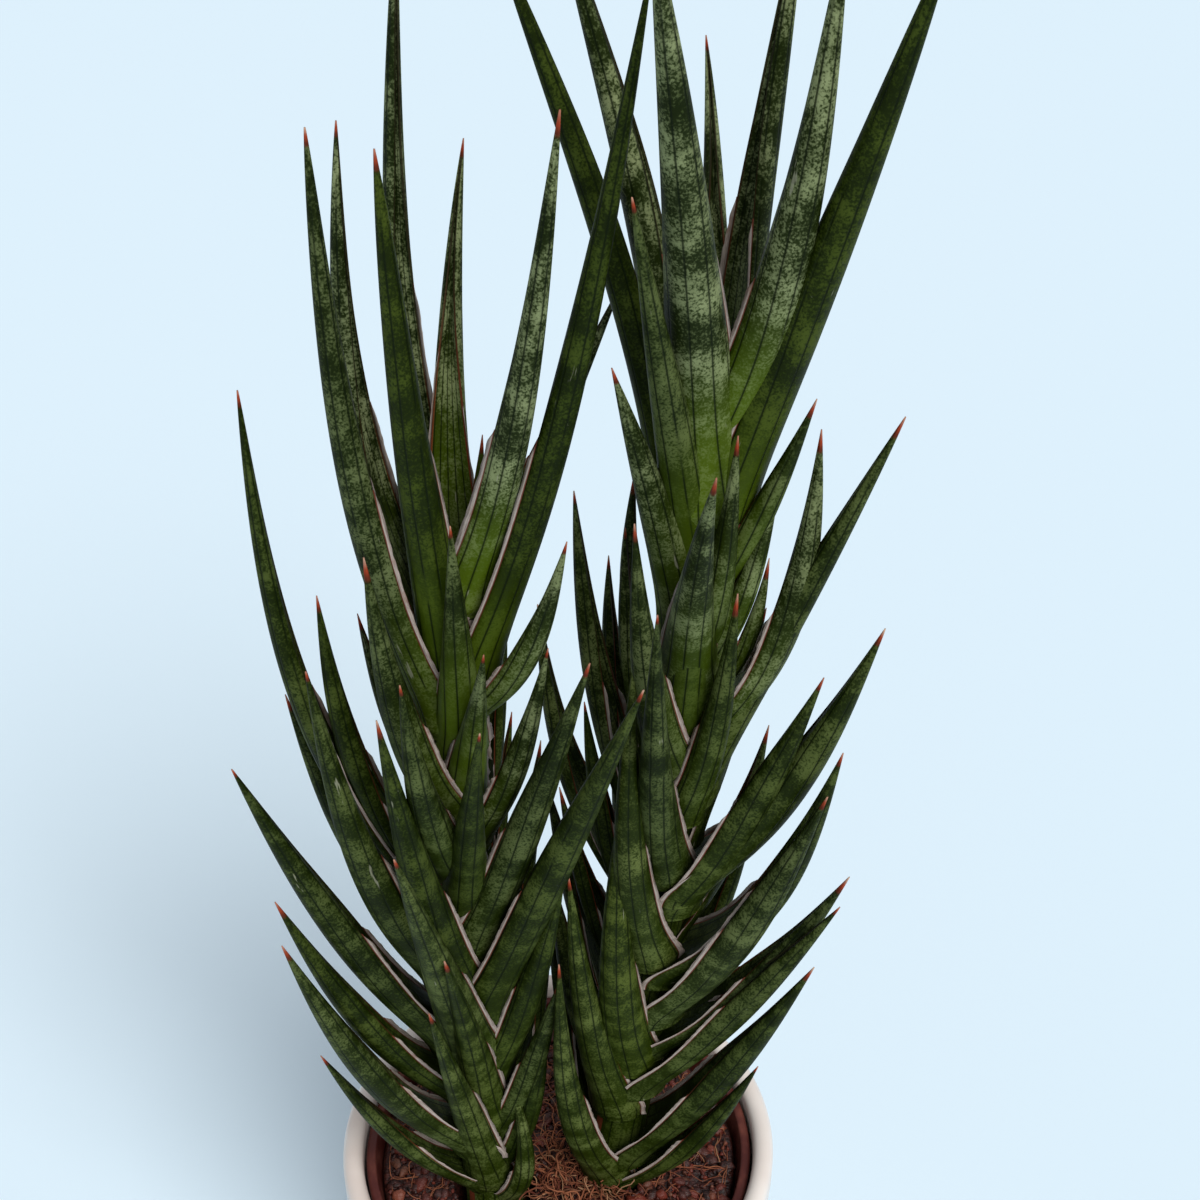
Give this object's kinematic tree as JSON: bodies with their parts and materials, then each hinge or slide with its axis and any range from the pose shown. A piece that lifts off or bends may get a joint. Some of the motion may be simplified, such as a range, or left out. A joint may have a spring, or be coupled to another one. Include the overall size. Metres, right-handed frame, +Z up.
{
  "type": "potted sansevieria francisii",
  "caption": "Potted succulent with upright leafy stems of spiny grooved leaves, in a plastic nursery pot standing inside a white cover pot with a raised lip.",
  "frame": {"origin": "centre of the cover pot's foot, on the surface it stands on", "axes": "+Z up, -Y towards the front from which the plant is seen, +X to the right"},
  "size_m": [0.1538, 0.134, 0.5089],
  "materials": {
    "white_glaze": "satin",
    "red_brown_plastic": "satin",
    "bark_mix": "matte",
    "leaf": "satin"
  },
  "bodies": {
    "root": {"cover_pot": "white_glaze", "nursery_pot": "red_brown_plastic", "potting_mix": "bark_mix", "leafy_stem_left": "leaf", "leafy_stem_right": "leaf"}
  },
  "joints": []
}
